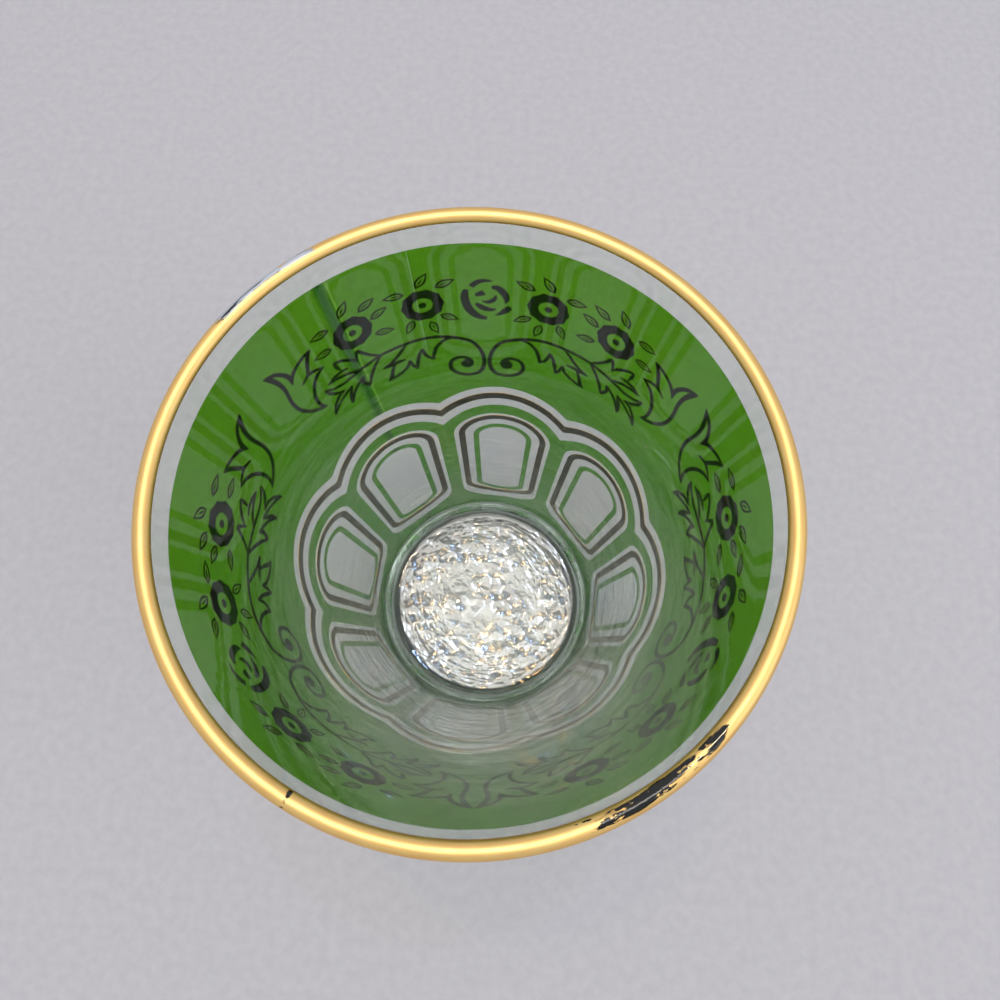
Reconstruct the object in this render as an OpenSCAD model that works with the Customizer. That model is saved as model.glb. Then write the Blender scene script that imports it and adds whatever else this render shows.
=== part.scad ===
// A tapered tea glass with a gilded lip, a green coat with an arcade of clear panes, and gold prints.
// It stands on the XY plane with its axis on Z. The first garland faces +Y.

/* [Glass] */
// Height of the glass
glass_h = 88; // [82:1:94]
// Diameter of the tapered wall, drawn up to the rim
rim_d = 72.5; // [68:0.5:78]
// Diameter of the tapered wall, drawn down to the table
foot_d = 44; // [41:0.5:47]
// Thickness of the wall at the rim
wall_t = 1.9; // [1.6:0.1:2.4]
// Thickness of the wall where it meets the floor inside
heel_t = 3; // [2.6:0.1:3.4]
// Height of the floor's edge inside, above the table
floor_h = 7.4; // [6.4:0.2:8.4]
// Depth of the dish in the floor
floor_dish = 0.6; // [0.2:0.1:1.2]
// Radius of the inside corner between wall and floor
heel_r = 2.7; // [1.5:0.1:4]
// Height of the hollow under the base
punt_h = 1.6; // [0.8:0.2:2.6]
// Width of the ring that the glass stands on
foot_ring_w = 3.2; // [2:0.2:5]
// Radius of the outer edge of the foot
foot_edge_r = 1.2; // [0.6:0.2:2]

/* [Gold] */
// Thickness of the gold layers
gold_t = 0.1; // [0.06:0.02:0.16]
// How far the gilding of the lip reaches down the outside
lip_gold_drop = 1.7; // [1.2:0.1:3]
// Width of the gold line along the scallops
scallop_gold_w = 1.55; // [0.9:0.05:1.8]
// Width of the gold line round each pane
pane_gold_w = 1.2; // [0.7:0.05:1.4]

/* [Green coat] */
// Thickness of the green coat
coat_t = 0.12; // [0.08:0.02:0.2]
// Bare strip of glass between the rim and the coat
coat_top_drop = 5.5; // [4:0.5:8]
// Height of the coat's lower edge above the table
coat_foot_h = 7.5; // [6:0.5:9]
// Width of the green line inside each pane
pane_green_w = 1.05; // [0.6:0.05:1.3]

/* [Arcade] */
// Number of arches round the glass
bays = 8; // [7:1:9]
// Turn of the arcade from the first garland
arcade_turn = -5.8; // [-20:0.1:20]
// Height of the centres of the arches above the table
arch_centre_h = 32; // [30:0.5:34]
// Radius of the gold line over each arch
arch_r = 16.6; // [15.6:0.2:17.6]
// Width of the bare band that holds this gold line
arch_band_w = 5.4; // [4.4:0.2:6]
// Width of the coat between the bare band and the top of each clear pane
crown_w = 2.6; // [1.6:0.1:4]
// Width of the coat under the foot of each clear pane
sill_w = 3.2; // [2:0.1:4.5]
// Width of the coat between two panes, where their arches spring
post_w = 3; // [2:0.1:4.5]
// Rise of the pane's arch
pane_rise = 6.4; // [4:0.2:8]
// Depth of the curve at the pane's foot
pane_sink = 5.1; // [3:0.1:7]
// From the pane's edge to the middle of its gold line, at the sides
gold_inset = 1.5; // [1.2:0.1:2.2]
// The same at the top of the pane
gold_inset_top = 1.4; // [1:0.1:2]
// The same at the foot of the pane
gold_inset_foot = 2.7; // [1.6:0.1:3.2]
// From the gold line to the middle of the green line, at the sides
green_inset = 2.65; // [1.8:0.05:3]
// The same at the top of the pane
green_inset_top = 2.6; // [1.6:0.1:3]
// The same at the foot of the pane
green_inset_foot = 1.6; // [1.4:0.1:2.2]

/* [Garlands] */
// From the rim down to the top of the garlands' drawing grid
garland_drop = 10; // [8:0.5:11]
// Height of the drawing grid
garland_h = 24; // [22:0.5:25]
// Gap between the tips of the two garlands that lie nearest to each other
garland_gap = 0.2; // [0.2:0.1:2]
// Radius of the flowers
flower_r = 3; // [2.4:0.1:3.2]
// Length of the small leaves
leaf_l = 3.1; // [2.4:0.1:3.4]
// Width of the small leaves
leaf_w = 1.45; // [1:0.05:1.8]
// Width of the outline of the small leaves
leaf_line = 0.3; // [0.2:0.02:0.36]
// Spread of the gold ink past its drawn edge
ink_spread = 0.03; // [0.01:0.01:0.06]

/* [Hidden] */
$fn = 96;
arc_steps = 10;
pane_steps = 20;
curve_steps = 2;
leaf_steps = 5;
// Overrun of every cut past what it cuts
over = 1;
// Hairline joint between the bays of the coat and of the line along the scallops
coat_joint = 0.02;

// The three garlands are transfers laid by hand, so their spacing is uneven
garland_turns = [0, 124.9, 240.9];
garland_least_a = min(concat(
    [for (i = [1:len(garland_turns) - 1]) garland_turns[i] - garland_turns[i - 1]],
    [360 - garland_turns[len(garland_turns) - 1]]
));
first_azimuth = 90;

function run(a, b) = [for (i = [1:a]) str(b, i)];

// The wall is a straight taper: outer radius and inner radius at a height above the table
wall_slope = (rim_d - foot_d) / 2 / glass_h;
taper = atan(wall_slope);
function wall_r(h) = foot_d / 2 + wall_slope * h;
lip_r = wall_t / 2;
lip_h = glass_h - lip_r;
lip_x = wall_r(lip_h) - lip_r / cos(taper);
lip_in_x = lip_x - lip_r * cos(taper);
lip_in_h = lip_h + lip_r * sin(taper);
floor_edge_r = wall_r(floor_h) - heel_t;
inner_slope = (lip_in_x - floor_edge_r) / (lip_in_h - floor_h);
heel_x = floor_edge_r + inner_slope * heel_r - heel_r * sqrt(1 + inner_slope * inner_slope);
foot_edge_x = wall_r(foot_edge_r) - foot_edge_r / cos(taper);
foot_in_r = foot_edge_x - foot_ring_w;

function arc(x, y, r, a0, a1, n = arc_steps) =
    [for (i = [0:n]) let (a = a0 + (a1 - a0) * i / n) [x + r * cos(a), y + r * sin(a)]];

// A shallow dish from the radius x1 in to the axis
function dish(x1, y_edge, y_mid, n = arc_steps) =
    [for (i = [0:n]) let (s = 1 - i / n) [x1 * s, y_mid + (y_edge - y_mid) * s * s]];

// Heights on the wall
coat_top_h = glass_h - coat_top_drop;
garland_top_h = glass_h - garland_drop;
garland_mid_h = garland_top_h - garland_h / 2;
garland_r = wall_r(garland_mid_h);
bay_a = 360 / bays;
coat_bay_a = bay_a - coat_joint / rim_d * 360 / PI;

// The clear panes, between the arch, the sill and the posts
pane_top_h = arch_centre_h + arch_r - arch_band_w / 2 - crown_w;
pane_foot_h = coat_foot_h + sill_w;
spring_r = wall_r(pane_top_h - pane_rise);
pane_w = 2 * spring_r * sin((bay_a - post_w / spring_r * 180 / PI) / 2);
reach_in = foot_d / 4;
reach_out = rim_d / 2 + over;

// A thin layer on the wall between two heights, starting a distance off the glass
module layer(low, high, off, t, angle = 360) {
    rotate([0, 0, -angle / 2])
        rotate_extrude(angle = angle)
            polygon([
                [wall_r(low) + off, low],
                [wall_r(low) + off + t, low],
                [wall_r(high) + off + t, high],
                [wall_r(high) + off, high]
            ]);
}

// Pushes a flat shape through the wall along +X: its y is height, its x runs anticlockwise
module through_wall() {
    rotate([90, 0, 90])
        translate([0, 0, reach_in])
            linear_extrude(reach_out - reach_in)
                children();
}

// Turns a piece made at azimuth zero to its bay or its garland
module at_bay(i) {
    rotate([0, 0, first_azimuth + arcade_turn + (i - 1) * bay_a])
        children();
}

module glass_body() {
    color("lightcyan", 0.4)
        rotate_extrude()
            polygon(concat(
                dish(foot_in_r, 0, punt_h),
                [[0, floor_h - floor_dish]],
                [for (p = dish(heel_x, floor_h, floor_h - floor_dish)) [heel_x - p[0],
                    floor_h - floor_dish + floor_dish * pow(1 - p[0] / heel_x, 2)]],
                arc(heel_x, floor_h + heel_r, heel_r, -90, -atan(inner_slope)),
                arc(lip_x, lip_h, lip_r, 180 - taper, -taper),
                arc(foot_edge_x, foot_edge_r, foot_edge_r, -taper, -90)
            ));
}

// Gold over the rounded lip and a little way down the outside
module lip_gilding() {
    h = glass_h - lip_gold_drop;
    color("goldenrod")
        rotate_extrude()
            polygon(concat(
                [[wall_r(h), h], [wall_r(h) + gold_t / cos(taper), h]],
                arc(lip_x, lip_h, lip_r + gold_t, -taper, 180 - taper),
                arc(lip_x, lip_h, lip_r, 180 - taper, -taper)
            ));
}

// Coat above the scallops, laid bay by bay
module green_field() {
    color("green", 0.7)
        for (i = [1:bays])
            at_bay(i)
                difference() {
                    layer(arch_centre_h, coat_top_h, 0, coat_t, coat_bay_a);
                    through_wall()
                        translate([0, arch_centre_h])
                            circle(r = arch_r + arch_band_w / 2);
                }
}

// Outline of a pane: straight sides that follow the taper, an arched top and a curved foot
function pane_outline(w, top, foot, rise, sink) =
    let (
        spring = top - rise,
        sill = foot + sink,
        half = asin(w / 2 / wall_r(spring)),
        x_spring = wall_r(spring) * sin(half),
        x_sill = wall_r(sill) * sin(half)
    )
    concat(
        [for (i = [0:pane_steps]) let (a = 180 * i / pane_steps)
            [x_spring * cos(a), spring + rise * sin(a)]],
        [for (i = [0:pane_steps]) let (a = 180 + 180 * i / pane_steps)
            [x_sill * cos(a), sill + sink * sin(a)]]
    );

// The same outline, drawn in from the pane's edge by three insets and by a share of a line's width
function inset_outline(side, top, foot, line) =
    pane_outline(
        pane_w - 2 * side - 2 * line,
        pane_top_h - top - line,
        pane_foot_h + foot + line,
        pane_rise * (pane_w - 2 * side - 2 * line) / pane_w + (side - top) / 2,
        pane_sink * (pane_w - 2 * side - 2 * line) / pane_w
    );

// Coat below the scallops, with a clear pane in each bay
module green_arcade() {
    crown_r = arch_r - arch_band_w / 2;
    color("green", 0.7)
        for (i = [1:bays])
            at_bay(i)
                intersection() {
                    layer(coat_foot_h, arch_centre_h + crown_r + over, 0, coat_t, coat_bay_a);
                    through_wall()
                        difference() {
                            union() {
                                translate([0, arch_centre_h])
                                    circle(r = crown_r);
                                translate([-rim_d / 2, coat_foot_h - over])
                                    square([rim_d, arch_centre_h - coat_foot_h + over]);
                            }
                            polygon(inset_outline(0, 0, 0, 0));
                        }
                }
}

// Gold line that follows the arches from bay to bay, laid in one arc over each pane
module scallop_gold_line() {
    color("darkgoldenrod")
        for (i = [1:bays])
            at_bay(i)
                intersection() {
                    layer(arch_centre_h, arch_centre_h + arch_r + arch_band_w, 0, gold_t, coat_bay_a);
                    through_wall()
                        translate([0, arch_centre_h])
                            difference() {
                                circle(r = arch_r + scallop_gold_w / 2);
                                circle(r = arch_r - scallop_gold_w / 2);
                            }
                }
}

// A closed line inside a pane, of a given width and thickness
module pane_line(side, top, foot, w, t) {
    intersection() {
        layer(pane_foot_h, pane_top_h, 0, t, bay_a);
        through_wall()
            difference() {
                polygon(inset_outline(side, top, foot, -w / 2));
                polygon(inset_outline(side, top, foot, w / 2));
            }
    }
}

module pane_gold_line(i) {
    color("darkgoldenrod")
        at_bay(i)
            pane_line(gold_inset, gold_inset_top, gold_inset_foot, pane_gold_w, gold_t);
}

module pane_green_line(i) {
    color("green", 0.7)
        at_bay(i)
            pane_line(gold_inset + green_inset, gold_inset_top + green_inset_top,
                gold_inset_foot + green_inset_foot, pane_green_w, coat_t);
}

// The garland's drawing grid has sixty columns from its middle to one end, and twenty-four rows.
// Places are given in these squares: column, row down from the top, and half the pen's width in rows.
grid_cols = 60;
grid_rows = 24;
tip_col_share = 57.7;
col_w = (garland_r * garland_least_a * PI / 180 - garland_gap) / 2 / tip_col_share;
row_h = garland_h / grid_rows;

// Stem that runs in from the spray and winds up in a scroll
stem_shares = [
    [29.5, 13.5, .2], [26, 13.35, .25], [22, 13.2, .28], [18, 13.1, .28], [14, 13.25, .3],
    [10, 13.8, .32], [6.5, 14.5, .32], [4.3, 15.1, .3], [2.5, 16.3, .3], [1.3, 17.8, .3],
    [.7, 19.3, .32], [.7, 20.8, .32], [1.4, 22.3, .32], [3, 23.3, .3], [5.6, 23.55, .3],
    [8.3, 23.1, .32], [10.3, 22, .34], [10.8, 20.7, .34], [10.1, 19.5, .32], [8.4, 18.95, .3],
    [6.6, 18.95, .3], [5, 19.5, .3], [4.3, 20.4, .35]
];
scroll_eye_share = [5.7, 20.6];
scroll_eye_r = 1.08 * row_h;
tulip_mid_share = [51, 9];

// Notched leaf that hangs from the stem
hanging_leaf_shares = [
    [[9.6, 14, .15], [12, 14.5, .25], [14, 15.7, .28], [15, 17.2, .3], [15.3, 18.4, .2]],
    [[15.2, 18.4, .15], [16.6, 17.7, .25], [17.5, 16.8, .28], [17.9, 15.4, .2]],
    [[17.9, 15.4, .2], [19.2, 16.7, .28], [20, 18.2, .3], [20.5, 19.7, .15]],
    [[20.5, 19.7, .15], [21.5, 18.7, .28], [22.2, 17.2, .2]],
    [[22.2, 17.3, .2], [23, 18.5, .25], [25.2, 19.4, .25], [27.6, 19.9, .22], [29.8, 20.05, .12]],
    [[29.6, 20, .1], [28.4, 19.4, .35], [27.7, 18.2, .28], [26.6, 16.9, .2]],
    [[23.2, 16.65, .1], [25, 16.6, .28], [27.6, 16.7, .32], [29.9, 16.75, .1]],
    [[22, 13.5, .15], [23.4, 14.3, .25], [25.2, 15.4, .25], [27.2, 16.2, .25], [29.9, 16.7, .1]]
];

// Spray of notched leaves at the end of the stem
spray_shares = [
    [[29.5, 13.5, .2], [31.5, 12.6, .22], [33.2, 11.5, .25], [34.4, 10.4, .3], [34.9, 10.2, .2]],
    [[34.8, 10.2, .25], [35.3, 11.1, .25], [35.9, 12.5, .12]],
    [[35.7, 12.1, .12], [37.4, 11.1, .25], [39.5, 10.2, .25], [41.5, 9.8, .2]],
    [[41.6, 9.8, .12], [41.3, 10.7, .3], [40.8, 11.8, .1]],
    [[38.6, 12.45, .1], [40.8, 12.25, .25], [43.2, 12.4, .28], [45.4, 12.95, .1]],
    [[45.4, 12.95, .1], [42.5, 13.05, .25], [39.8, 13.4, .25], [37, 14.2, .2]],
    [[30, 13.6, .22], [34, 14.1, .25], [38, 14.6, .25], [41.5, 14.9, .25], [44.6, 14.5, .22],
        [47.2, 13.55, .12]],
    [[47.2, 13.6, .12], [46.3, 14.8, .28], [44.8, 15.7, .25], [42.3, 16.4, .12]],
    [[42.3, 16.3, .15], [44.6, 16.6, .25], [46.6, 17.7, .28], [47.6, 18.9, .3], [48.1, 19.7, .15]],
    [[48, 19.5, .15], [46.2, 18.5, .25], [43.6, 17.5, .22], [41.6, 16.9, .25], [39.9, 16.45, .15]],
    [[40, 16.6, .12], [41.1, 17.7, .32], [41.7, 18.9, .38], [41.9, 20.1, .2]],
    [[41.8, 20, .12], [40.4, 18.3, .25], [38.4, 17.1, .25], [36, 16.1, .2]],
    [[36, 16.1, .2], [36.6, 17.2, .3], [35.8, 18.2, .3], [35.2, 18.8, .15]],
    [[35.2, 18.7, .2], [33.9, 17, .28], [32, 15.3, .25], [29.6, 13.7, .2]]
];

// Tulip that closes the garland
tulip_shares = [
    [[57.7, 2.4, .08], [56.3, 3.7, .36], [55.4, 5.4, .32], [55.2, 7.4, .28], [55.7, 9.2, .28],
        [55.8, 11, .28], [55.2, 12.7, .28], [53.8, 14.2, .28], [51.9, 15.35, .26], [50.2, 16, .25],
        [48.6, 16.45, .1]],
    [[57.6, 2.5, .1], [55.2, 3.3, .28], [53.5, 4.5, .28], [52.6, 5.8, .32], [52.8, 7.5, .1]],
    [[52.9, 7.4, .1], [51.6, 6.1, .32], [49.4, 5.3, .25], [47, 4.8, .25], [44.7, 4.55, .12]],
    [[44.9, 4.6, .12], [46.3, 5.5, .3], [47.4, 6.9, .3], [48.5, 8.4, .25]],
    [[43.9, 9.1, .08], [46.2, 8.55, .22], [48.6, 8.35, .28], [51, 9.1, .1]],
    [[44, 9.05, .1], [46.4, 9.6, .28], [48.4, 10.8, .28], [49.8, 12.5, .28], [50.2, 14.2, .28],
        [49.7, 15.7, .22], [48.8, 16.4, .12]]
];

// Rose at the middle, drawn in seven petals
rose_shares = [
    [[-3.4, 3.4, .4], [-2.2, 2.65, .42], [-.5, 2.25, .32], [1.6, 2.3, .08]],
    [[-4.7, 3.95, .35], [-5.15, 5.3, .58], [-4.85, 6.8, .6], [-4.1, 8.1, .62], [-2.6, 9.25, .58],
        [-.9, 9.8, .42], [.2, 9.85, .34]],
    [[1.4, 3.6, .28], [2.6, 3.5, .46], [3.9, 4.1, .55], [4.9, 5.1, .52], [5.1, 5.9, .34],
        [4.75, 6.5, .1]],
    [[2.3, 9.2, .06], [3.6, 8.75, .3], [5, 8, .52], [6.1, 7.2, .4]],
    [[-2.5, 5.1, .25], [-1.5, 4.9, .42], [-.4, 4.6, .5]],
    [[2.45, 5.05, .1], [2.2, 5.8, .34], [1.2, 6.35, .38], [0, 6.5, .25], [-.9, 6.2, .06]],
    [[-2.4, 6.8, .28], [-1.3, 7.45, .48], [0, 7.9, .46], [1.4, 8.05, .33], [2.6, 7.85, .08]]
];

// Middles of the flowers, and the point and the round end of each small leaf
flower_shares = [[15.5, 6.1], [33.8, 6.45]];
leaf_shares = [
    [[7, 1.8], [11.8, 3]], [[13.2, .1], [16.4, 2.5]], [[24.6, 2.95], [19.8, 3.2]],
    [[26, 1.85], [30.5, 3.2]], [[23.8, 4.3], [28.5, 5.6]], [[23.5, 9.2], [28.5, 8.7]],
    [[6.9, 10.05], [11.4, 8.7]], [[12.8, 12.6], [14.1, 10.1]], [[21, 11.3], [18.9, 9.2]],
    [[32.3, .2], [35.4, 2.6]], [[44, 3.4], [39.2, 3.5]], [[45.3, 6.85], [40.4, 7]]
];
// Scalloped edge of a flower, its star opening and its heart, as shares of the flower's radius
petal_wave_share = 0.035;
star_share = 0.5;
star_wave_share = 0.2;
heart_share = 0.2;
// Where the opening and the vein of a small leaf begin and end along it
leaf_open_share = [0.13, 0.88];
leaf_vein_share = [0.36, 0.82];
vein_w_share = 0.2;

// From a square of the grid to millimetres on the unrolled wall: along it, and height above the table
function on_grid(p) = [p[0] * col_w, garland_top_h - p[1] * row_h];

// Angle of a square of the grid from the garland's middle
function angle_of(p) = p[0] * col_w / garland_r * 180 / PI;
spare_a = 4;
garland_a = 2 * (angle_of([grid_cols / 2, 0]) + spare_a);

// From the unrolled wall to the flat shape that is pushed through it, seen from the angle mid
function on_wall(q, mid) =
    [-wall_r(q[1]) * sin(q[0] / garland_r * 180 / PI - mid), q[1]];

function unit(v) = v / max(norm(v), 1e-9);

// A smooth run through the points p, in so many steps between each two
function smooth(p, steps) =
    let (n = len(p) - 1)
    [for (i = [0:n * steps])
        let (
            k = min(floor(i / steps), n - 1),
            t = i / steps - k,
            a = p[max(k - 1, 0)],
            b = p[k],
            c = p[k + 1],
            d = p[min(k + 2, n)]
        )
        b + (c - a) * t / 2 + (a - 2.5 * b + 2 * c - d / 2) * t * t
            + (1.5 * b - a / 2 - 1.5 * c + d / 2) * t * t * t];

// Outline of a pen stroke whose half width is the third value of each point
function stroke(p, steps) =
    let (
        s = smooth([for (q = p) concat(on_grid(q), q[2] * row_h)], steps),
        n = len(s) - 1,
        side = [for (i = [0:n])
            let (v = unit(s[min(i + 1, n)] - s[max(i - 1, 0)]), u = unit([v[0], v[1]]))
            [-u[1], u[0]] * s[i][2]]
    )
    concat(
        [for (i = [0:n]) [s[i][0], s[i][1]] + side[i]],
        [for (i = [n:-1:0]) [s[i][0], s[i][1]] - side[i]]
    );

// A wavy ring of points round a middle
function wavy(mid, r, waves, share, turn, n) =
    [for (i = [0:n - 1]) let (a = 360 * i / n)
        mid + r * (1 + share * cos(waves * (a - turn))) * [cos(a), sin(a)]];

// A lens from the point a to the round end b, of the width w, between two shares of its length
function lens(a, b, w, from, to, n) =
    let (v = unit(b - a), side = [-v[1], v[0]], l = leaf_l)
    concat(
        [for (i = [0:n]) let (s = i / n) a + v * l * (from + (to - from) * s)
            + side * w / 2 * pow(sin(180 * pow(s, 1.25)), 0.8)],
        [for (i = [n - 1:-1:1]) let (s = i / n) a + v * l * (from + (to - from) * s)
            - side * w / 2 * pow(sin(180 * pow(s, 1.25)), 0.8)]
    );

// Prints one motif on the coat: mid is its own angle from the garland's middle
module printed(mid) {
    rotate([0, 0, -mid])
        intersection() {
            layer(garland_top_h - garland_h, garland_top_h + row_h, coat_t, gold_t, garland_a);
            through_wall()
                children();
        }
}

module drawn(points, mid) {
    polygon([for (q = points) on_wall(q, mid)]);
}

module small_leaf(ends) {
    mid = angle_of((ends[0] + ends[1]) / 2);
    a = on_grid(ends[0]);
    b = on_grid(ends[1]);
    printed(mid) {
        difference() {
            drawn(lens(a, b, leaf_w, 0, 1, leaf_steps), mid);
            drawn(lens(a, b, leaf_w - 2 * leaf_line, leaf_open_share[0], leaf_open_share[1],
                leaf_steps - 1), mid);
        }
        drawn(lens(a, b, leaf_w * vein_w_share, leaf_vein_share[0], leaf_vein_share[1], 2), mid);
    }
}

module flower(place) {
    mid = angle_of(place);
    m = on_grid(place);
    printed(mid) {
        difference() {
            drawn(wavy(m, flower_r, 10, petal_wave_share, 0, 20), mid);
            drawn(wavy(m, flower_r * star_share, 5, star_wave_share, 90, 10), mid);
        }
        drawn(wavy(m, flower_r * heart_share, 3, star_wave_share, -90, 6), mid);
    }
}

// Strokes that cross, run together as ink does
module strokes(long, short, mid) {
    printed(mid)
        offset(delta = ink_spread) {
            for (s = long)
                drawn(stroke(s, curve_steps), mid);
            for (s = short)
                drawn(stroke(s, 1), mid);
            children();
        }
}

// One side of a garland
module half_garland() {
    mid = angle_of([grid_cols / 2, 0]);
    strokes([stem_shares], concat(hanging_leaf_shares, spray_shares), mid)
        drawn(wavy(on_grid(scroll_eye_share), scroll_eye_r, 1, 0, 0, 10), mid);
    strokes(tulip_shares, [], angle_of(tulip_mid_share));
    for (f = flower_shares)
        flower(f);
    for (l = leaf_shares)
        small_leaf(l);
}

// A gold garland printed over the green coat
module garland(i) {
    color("gold")
        rotate([0, 0, first_azimuth + garland_turns[i - 1]]) {
            half_garland();
            mirror([0, 1, 0])
                half_garland();
            for (s = rose_shares)
                printed(0)
                    drawn(stroke(s, curve_steps), 0);
        }
}

glass_body();
lip_gilding();
green_field();
green_arcade();
scallop_gold_line();
for (i = [1:len(garland_turns)])
    garland(i);
for (i = [1:bays])
    pane_gold_line(i);
for (i = [1:bays])
    pane_green_line(i);
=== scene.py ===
"""A tapered tea glass: a gilded lip, a green coat with an arcade of clear panes, and gold prints."""

import math

import bmesh
import bpy
import numpy as np
from mathutils import Matrix, Vector


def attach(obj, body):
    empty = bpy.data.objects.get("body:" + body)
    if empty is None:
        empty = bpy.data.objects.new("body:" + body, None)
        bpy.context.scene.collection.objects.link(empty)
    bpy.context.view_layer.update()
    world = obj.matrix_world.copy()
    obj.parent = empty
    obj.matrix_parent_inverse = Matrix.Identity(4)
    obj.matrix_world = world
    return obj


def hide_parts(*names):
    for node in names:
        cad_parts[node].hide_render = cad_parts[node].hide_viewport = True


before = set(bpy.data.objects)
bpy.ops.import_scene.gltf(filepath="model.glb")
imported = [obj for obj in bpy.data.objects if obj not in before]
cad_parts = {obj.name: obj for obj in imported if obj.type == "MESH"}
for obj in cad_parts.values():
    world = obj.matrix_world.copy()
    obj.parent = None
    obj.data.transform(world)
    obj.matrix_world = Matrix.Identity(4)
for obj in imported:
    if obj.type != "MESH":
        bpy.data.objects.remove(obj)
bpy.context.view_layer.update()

# Sizes of the real glass, in millimetres
MM = 0.001
GLASS_H = 88.0
RIM_R = 36.25
FOOT_R = 22.0
WALL_T = 1.9
HEEL_T = 3.0
FLOOR_H = 7.4
FLOOR_DISH = 0.6
HEEL_R = 2.7
PUNT_H = 1.6
FOOT_RING_W = 3.2
FOOT_EDGE_R = 1.2
GOLD_T = 0.1
COAT_T = 0.12
LIP_GOLD_DROP = 1.7
# The fired layers are one with the glass: its skin closes over the seats of the prints by this much,
# and the coats lie under it
SKIN = 0.02
COAT_SINK = 0.16

BAYS = 8
FIRST_BAY_AZIMUTH = 84.2
PANE_TOP_H = 43.3
PANE_FOOT_H = 10.7
PANE_W = 18.6
PANE_RISE = 6.4
PANE_SINK = 5.1
GOLD_LINE_W = 1.2
GREEN_LINE_W = 1.05
GOLD_INSETS = (1.5, 1.4, 2.7)
GREEN_INSETS = (4.15, 4.0, 4.3)

SLOPE = (RIM_R - FOOT_R) / GLASS_H
TAPER = math.atan(SLOPE)

# Ripples that the mould left in the solid glass: height, length up the wall, and how much slower they
# change round the glass than up it
RIPPLE_H = 0.3
RIPPLE_L = 3.0
RIPPLE_ROUND = 0.22
# The finer relief of the polished skin inside: widths of the arcs, swells and dimples, and of the
# patches that the dimples keep to, and how far the arcs and swells run round the glass
ARC_W, ARC_ROUND = 1.7, 6.0
SWELL_W, SWELL_ROUND = 5.0, 12.0
DIMPLE_W = 2.5
DIMPLE_PATCH_W = 7.0
GLASS_RELIEF = 0.1
SKIN_RELIEF = 0.2
# The ring of painted shade in the corner round the floor, as distances from the axis
SHADE_RING = (18.1, 19.2)
# Marks of making and wear, in turns round the glass from the x axis
LAP = (0.3488, 0.3552)
LAP_EDGE = (0.3464, 0.3474)
UPPER_WEAR = (0.343, 0.4125)
LOWER_WEAR = (-0.2, -0.11)
CHIP = (-0.3275, -0.3245)
# The parts of the lip's width that each stretch of wear takes, as distances from the axis
UPPER_WEAR_REACH = (34.95, 36.0)
LOWER_WEAR_REACH = (34.3, 35.65)

# Faces round the glass and round its gilded lip, and steps along an arch and a side of a pane's outline
GLASS_SEGMENTS = 340
LIP_SEGMENTS = 720
ARCH_STEPS = 72
SIDE_STEPS = 24


def wall_r(h):
    """Outer radius of the taper at a height above the table."""
    return FOOT_R + SLOPE * h


def colour(code):
    """A linear colour from an sRGB hex code."""
    parts = [int(code[i:i + 2], 16) / 255 for i in (1, 3, 5)]
    return [c / 12.92 if c <= 0.04045 else ((c + 0.055) / 1.055) ** 2.4 for c in parts] + [1.0]


def add(tree, kind, sockets=None, **settings):
    """Adds a node with its settings. A socket takes a value, or a link from another node's output."""
    node = tree.nodes.new(kind)
    for name, value in settings.items():
        setattr(node, name, value)
    for name, value in (sockets or {}).items():
        if isinstance(value, bpy.types.NodeSocket):
            tree.links.new(value, node.inputs[name])
        else:
            node.inputs[name].default_value = value
    return node


def new_material(name):
    """An empty material and its tree."""
    material = bpy.data.materials.new(name)
    material.use_nodes = True
    material.node_tree.nodes.clear()
    return material, material.node_tree


def finish_material(tree, sockets, volume=None):
    """One Principled shader to the output, and the tint of the solid inside it where it has one."""
    shader = add(tree, "ShaderNodeBsdfPrincipled", sockets)
    output = add(tree, "ShaderNodeOutputMaterial", {"Surface": shader.outputs["BSDF"]})
    if volume:
        inside = add(tree, "ShaderNodeVolumeAbsorption", {"Color": colour(volume[0]), "Density": volume[1]})
        tree.links.new(inside.outputs["Volume"], output.inputs["Volume"])
    return shader


def place_on_glass(tree):
    """Azimuth in turns from -0.5 to 0.5, and height in millimetres, of the point that is shaded."""
    where = add(tree, "ShaderNodeTexCoord").outputs["Object"]
    parts = add(tree, "ShaderNodeSeparateXYZ", {0: where})
    angle = add(tree, "ShaderNodeMath", {0: parts.outputs["Y"], 1: parts.outputs["X"]}, operation="ARCTAN2")
    turns = add(tree, "ShaderNodeMath", {0: angle.outputs[0], 1: 1 / (2 * math.pi)}, operation="MULTIPLY")
    height = add(tree, "ShaderNodeMath", {0: parts.outputs["Z"], 1: 1 / MM}, operation="MULTIPLY")
    return where, turns.outputs[0], height.outputs[0]


def reach_of(tree, where):
    """Distance from the axis, in millimetres."""
    flat = add(tree, "ShaderNodeVectorMath", {0: where, 1: (1 / MM, 1 / MM, 0.0)}, operation="MULTIPLY")
    return add(tree, "ShaderNodeVectorMath", {0: flat.outputs[0]}, operation="LENGTH").outputs["Value"]


def noise_of(tree, where, size_mm, detail=2.0, roughness=0.5, stretch=(1, 1, 1)):
    """Noise whose blobs are size_mm across, in millimetres on the glass."""
    mapped = add(tree, "ShaderNodeMapping", {"Vector": where, "Scale": [s / (size_mm * MM) for s in stretch]})
    return add(tree, "ShaderNodeTexNoise", {
        "Vector": mapped.outputs[0], "Scale": 1.0, "Detail": detail, "Roughness": roughness})


def ramp(tree, value, stops, interpolation="LINEAR"):
    """A colour ramp with (position, hex) stops."""
    node = add(tree, "ShaderNodeValToRGB", {"Fac": value})
    node.color_ramp.interpolation = interpolation
    while len(node.color_ramp.elements) < len(stops):
        node.color_ramp.elements.new(0.5)
    for element, (position, code) in zip(node.color_ramp.elements, stops):
        element.position = position
        element.color = colour(code)
    return node.outputs["Color"]


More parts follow.
